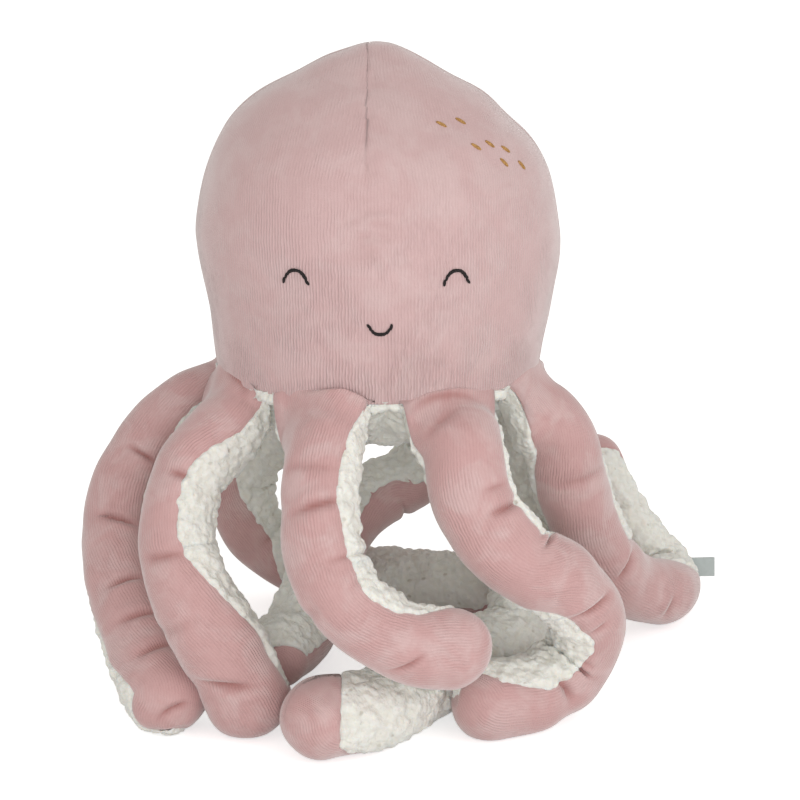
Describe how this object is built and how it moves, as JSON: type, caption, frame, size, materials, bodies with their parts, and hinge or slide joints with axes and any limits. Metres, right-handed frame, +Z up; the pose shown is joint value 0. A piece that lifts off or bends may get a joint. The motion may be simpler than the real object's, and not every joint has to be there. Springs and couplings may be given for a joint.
{
  "type": "plush octopus",
  "caption": "Stuffed octopus toy with a bell-shaped ribbed head, a sewn sleepy face and plump curled arms that bend at the head and along their length.",
  "frame": {"origin": "on the floor, under the middle of the whole toy's box", "axes": "+Z up, the face looks along -Y, +X to the right in a front view"},
  "size_m": [0.2309, 0.181, 0.218],
  "materials": {
    "velour": "ribbed knitted velour, dusty pink",
    "fleece": "looped boucle fleece, off-white",
    "stuffing": "loose polyester fibre",
    "thread": "satin-stitched thread, charcoal",
    "ribbon": "woven ribbon, grey teal"
  },
  "bodies": {
    "head": {"head_front_panel": "velour", "head_back_panel": "velour", "base_panel": "fleece", "head_stuffing": "stuffing", "eye_left": "thread", "eye_right": "thread", "mouth": "thread"},
    "arm_front_right_upper": {"arm_front_right_upper_velour": "velour", "arm_front_right_upper_fleece": "fleece", "arm_front_right_upper_stuffing": "stuffing"},
    "arm_front_right_lower": {"arm_front_right_lower_velour": "velour", "arm_front_right_lower_fleece": "fleece", "arm_front_right_lower_stuffing": "stuffing"},
    "arm_right_front_upper": {"arm_right_front_upper_velour": "velour", "arm_right_front_upper_fleece": "fleece", "arm_right_front_upper_stuffing": "stuffing"},
    "arm_right_front_lower": {"arm_right_front_lower_velour": "velour", "arm_right_front_lower_fleece": "fleece", "arm_right_front_lower_stuffing": "stuffing", "ribbon_tag": "ribbon"},
    "arm_right_rear_upper": {"arm_right_rear_upper_velour": "velour", "arm_right_rear_upper_fleece": "fleece", "arm_right_rear_upper_stuffing": "stuffing"},
    "arm_right_rear_lower": {"arm_right_rear_lower_velour": "velour", "arm_right_rear_lower_fleece": "fleece", "arm_right_rear_lower_stuffing": "stuffing"},
    "arm_rear_right_upper": {"arm_rear_right_upper_velour": "velour", "arm_rear_right_upper_fleece": "fleece", "arm_rear_right_upper_stuffing": "stuffing"},
    "arm_rear_right_lower": {"arm_rear_right_lower_velour": "velour", "arm_rear_right_lower_fleece": "fleece", "arm_rear_right_lower_stuffing": "stuffing"},
    "arm_rear_left_upper": {"arm_rear_left_upper_velour": "velour", "arm_rear_left_upper_fleece": "fleece", "arm_rear_left_upper_stuffing": "stuffing"},
    "arm_rear_left_lower": {"arm_rear_left_lower_velour": "velour", "arm_rear_left_lower_fleece": "fleece", "arm_rear_left_lower_stuffing": "stuffing"},
    "arm_left_rear_upper": {"arm_left_rear_upper_velour": "velour", "arm_left_rear_upper_fleece": "fleece", "arm_left_rear_upper_stuffing": "stuffing"},
    "arm_left_rear_lower": {"arm_left_rear_lower_velour": "velour", "arm_left_rear_lower_fleece": "fleece", "arm_left_rear_lower_stuffing": "stuffing"},
    "arm_left_front_upper": {"arm_left_front_upper_velour": "velour", "arm_left_front_upper_fleece": "fleece", "arm_left_front_upper_stuffing": "stuffing"},
    "arm_left_front_lower": {"arm_left_front_lower_velour": "velour", "arm_left_front_lower_fleece": "fleece", "arm_left_front_lower_stuffing": "stuffing"},
    "arm_front_left_upper": {"arm_front_left_upper_velour": "velour", "arm_front_left_upper_fleece": "fleece", "arm_front_left_upper_stuffing": "stuffing"},
    "arm_front_left_lower": {"arm_front_left_lower_velour": "velour", "arm_front_left_lower_fleece": "fleece", "arm_front_left_lower_stuffing": "stuffing"}
  },
  "joints": [
    {"name": "arm_front_right_swing", "type": "hinge", "parent": "head", "child": "arm_front_right_upper", "pos_m": [0.0124, -0.04313, 0.10854], "axis": [-0.8651, -0.497, 0.0675], "range_deg": [0, 45]},
    {"name": "arm_front_right_curl", "type": "hinge", "parent": "arm_front_right_upper", "child": "arm_front_right_lower", "pos_m": [0.05609, -0.06309, 0.05187], "axis": [-0.4783, -0.4743, -0.7391], "range_deg": [0, 45]},
    {"name": "arm_right_front_swing", "type": "hinge", "parent": "head", "child": "arm_right_front_upper", "pos_m": [0.0395, -0.01224, 0.10851], "axis": [-0.3637, -0.9306, -0.0409], "range_deg": [0, 45]},
    {"name": "arm_right_front_curl", "type": "hinge", "parent": "arm_right_front_upper", "child": "arm_right_front_lower", "pos_m": [0.079, 0.0233, 0.04047], "axis": [0.4502, -0.8325, -0.3228], "range_deg": [0, 45]},
    {"name": "arm_right_rear_swing", "type": "hinge", "parent": "head", "child": "arm_right_rear_upper", "pos_m": [0.02055, 0.03343, 0.0949], "axis": [0.1311, 0.8592, 0.4945], "range_deg": [0, 12]},
    {"name": "arm_right_rear_curl", "type": "hinge", "parent": "arm_right_rear_upper", "child": "arm_right_rear_lower", "pos_m": [-0.00263, -0.03809, 0.02456], "axis": [-0.7749, 0.4907, -0.3984], "range_deg": [0, 12]},
    {"name": "arm_rear_right_swing", "type": "hinge", "parent": "head", "child": "arm_rear_right_upper", "pos_m": [-0.01359, 0.05497, 0.09884], "axis": [-0.021, 0.7299, 0.6833], "range_deg": [0, 20]},
    {"name": "arm_rear_right_curl", "type": "hinge", "parent": "arm_rear_right_upper", "child": "arm_rear_right_lower", "pos_m": [-0.01737, 0.04587, 0.04783], "axis": [-0.6615, 0.2032, 0.7219], "range_deg": [0, 45]},
    {"name": "arm_rear_left_swing", "type": "hinge", "parent": "head", "child": "arm_rear_left_upper", "pos_m": [-0.02855, 0.06086, 0.1091], "axis": [0.8628, -0.1243, -0.49], "range_deg": [0, 40]},
    {"name": "arm_rear_left_curl", "type": "hinge", "parent": "arm_rear_left_upper", "child": "arm_rear_left_lower", "pos_m": [-0.05583, 0.08225, 0.02962], "axis": [0.8118, -0.3245, 0.4855], "range_deg": [0, 45]},
    {"name": "arm_left_rear_swing", "type": "hinge", "parent": "head", "child": "arm_left_rear_upper", "pos_m": [-0.06469, 0.02582, 0.10863], "axis": [0.4289, 0.8961, -0.1138], "range_deg": [0, 45]},
    {"name": "arm_left_rear_curl", "type": "hinge", "parent": "arm_left_rear_upper", "child": "arm_left_rear_lower", "pos_m": [-0.11166, -0.00934, 0.05984], "axis": [-0.7073, 0.5636, -0.4267], "range_deg": [0, 45]},
    {"name": "arm_left_front_swing", "type": "hinge", "parent": "head", "child": "arm_left_front_upper", "pos_m": [-0.05885, -0.02683, 0.10912], "axis": [-0.7552, 0.4399, 0.4859], "range_deg": [0, 45]},
    {"name": "arm_left_front_curl", "type": "hinge", "parent": "arm_left_front_upper", "child": "arm_left_front_lower", "pos_m": [-0.08246, -0.06099, 0.06519], "axis": [-0.9014, 0.3154, -0.2966], "range_deg": [0, 45]},
    {"name": "arm_front_left_swing", "type": "hinge", "parent": "head", "child": "arm_front_left_upper", "pos_m": [-0.03144, -0.04585, 0.10853], "axis": [-0.9242, 0.3777, -0.0563], "range_deg": [0, 45]},
    {"name": "arm_front_left_curl", "type": "hinge", "parent": "arm_front_left_upper", "child": "arm_front_left_lower", "pos_m": [-0.02448, -0.08482, 0.06664], "axis": [-0.871, -0.3719, -0.321], "range_deg": [0, 45]}
  ]
}
